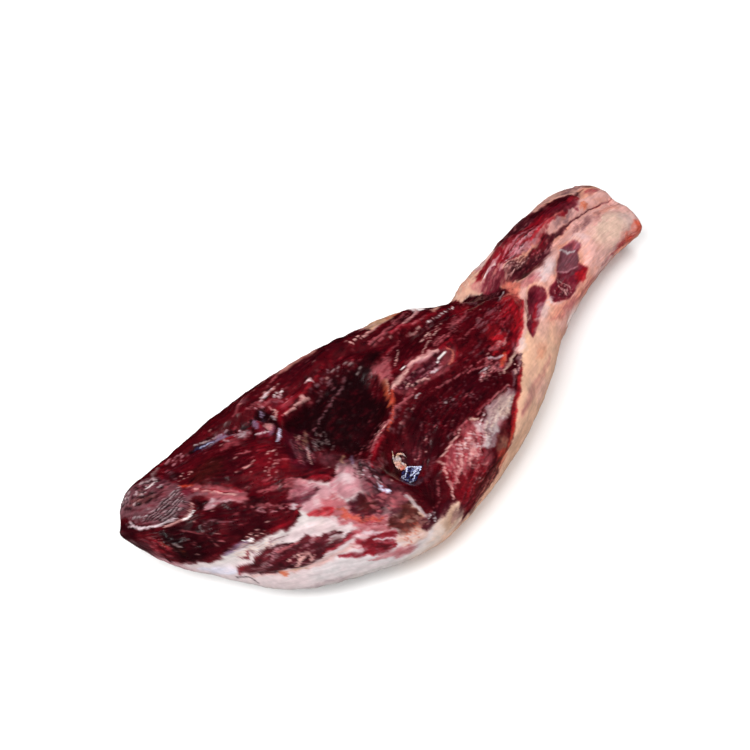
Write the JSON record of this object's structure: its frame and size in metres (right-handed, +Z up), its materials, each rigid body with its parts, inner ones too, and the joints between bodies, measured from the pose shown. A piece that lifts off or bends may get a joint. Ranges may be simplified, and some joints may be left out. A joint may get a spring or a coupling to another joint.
{
  "type": "boneless iberian ham",
  "caption": "Whole boned cured ham lying on its skin, cut side up: broad rump, thick thigh with a hollow where the bone was, and a narrow split shank.",
  "frame": {"origin": "middle of the ham's box in plan, on the surface that it lies on", "axes": "+X along the ham from the rump to the shank, +Y towards its far, straighter side, +Z up from the skin to the cut side"},
  "size_m": [0.5998, 0.2288, 0.1095],
  "materials": {
    "lean_meat": "moist, glossy dark red lean with fat seams",
    "fat_and_skin": "satin cream fat and thin skin"
  },
  "bodies": {
    "root": {"ham": "lean_meat"}
  },
  "joints": []
}
